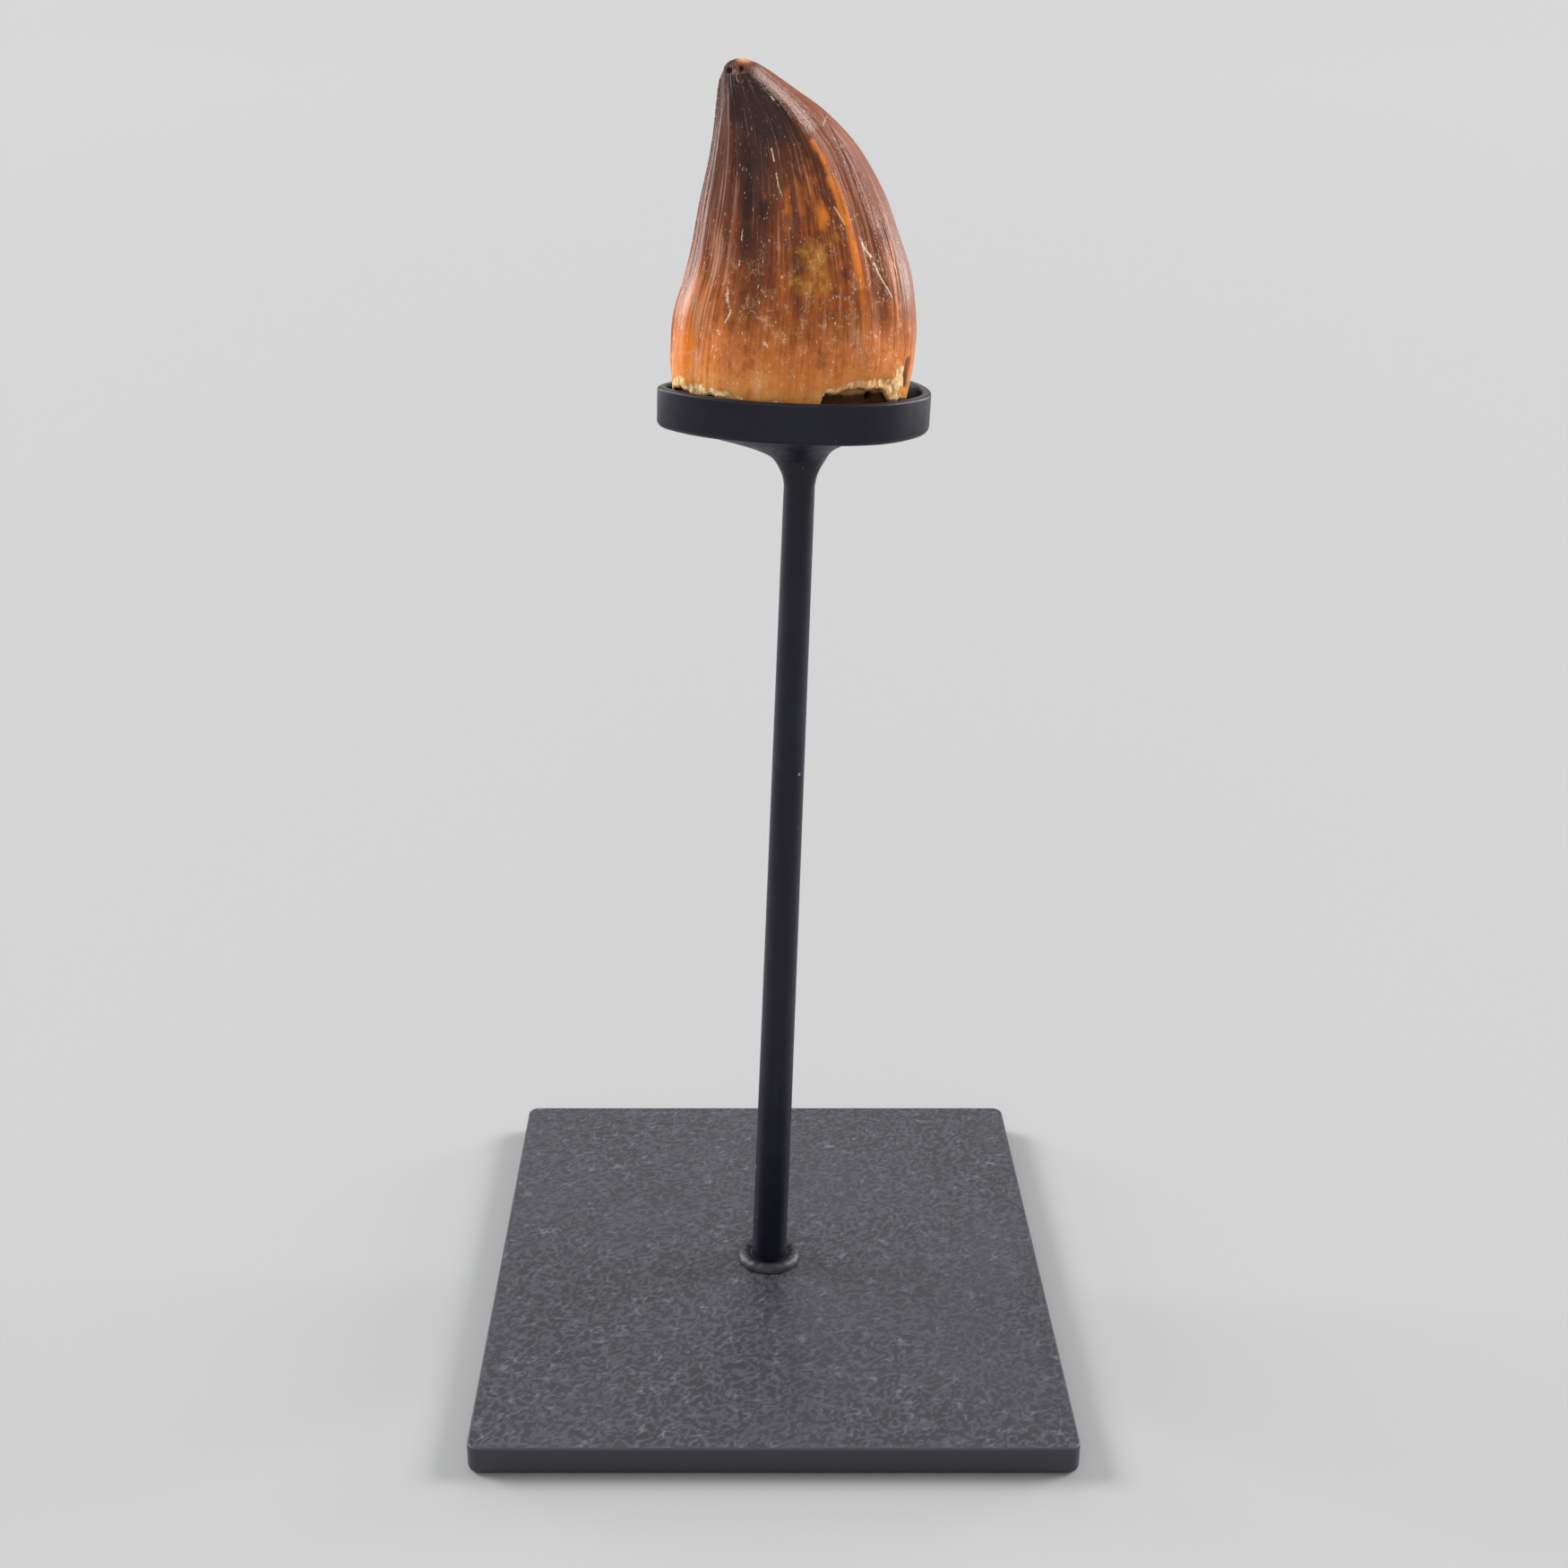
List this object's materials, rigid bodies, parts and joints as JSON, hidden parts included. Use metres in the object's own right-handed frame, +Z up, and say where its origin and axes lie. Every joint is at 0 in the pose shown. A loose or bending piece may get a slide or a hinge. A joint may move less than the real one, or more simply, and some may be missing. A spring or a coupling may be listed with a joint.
{
  "type": "fossil mosasaur tooth",
  "caption": "Curved fossil reptile tooth resting in a shallow black metal tray on a slightly leaning post with a square foot plate.",
  "frame": {"origin": "middle of the foot plate's underside", "axes": "+Z up, +X to the right as the tooth is shown with its tip to the left, +Y away from the viewer"},
  "size_m": [0.1, 0.1, 0.2176],
  "materials": {
    "plate_paint": "fine wrinkle-textured dark grey-violet powder coat, matt",
    "stand_paint": "smooth satin black paint with a slight violet tint",
    "tooth_enamel": "fossil enamel, dark brown at the tip to light orange at the base, finely striated, half gloss"
  },
  "bodies": {
    "root": {"base_plate": "plate_paint", "foot_weld": "plate_paint", "post": "stand_paint", "neck_weld": "stand_paint", "tray": "stand_paint", "tooth": "tooth_enamel"}
  },
  "joints": []
}
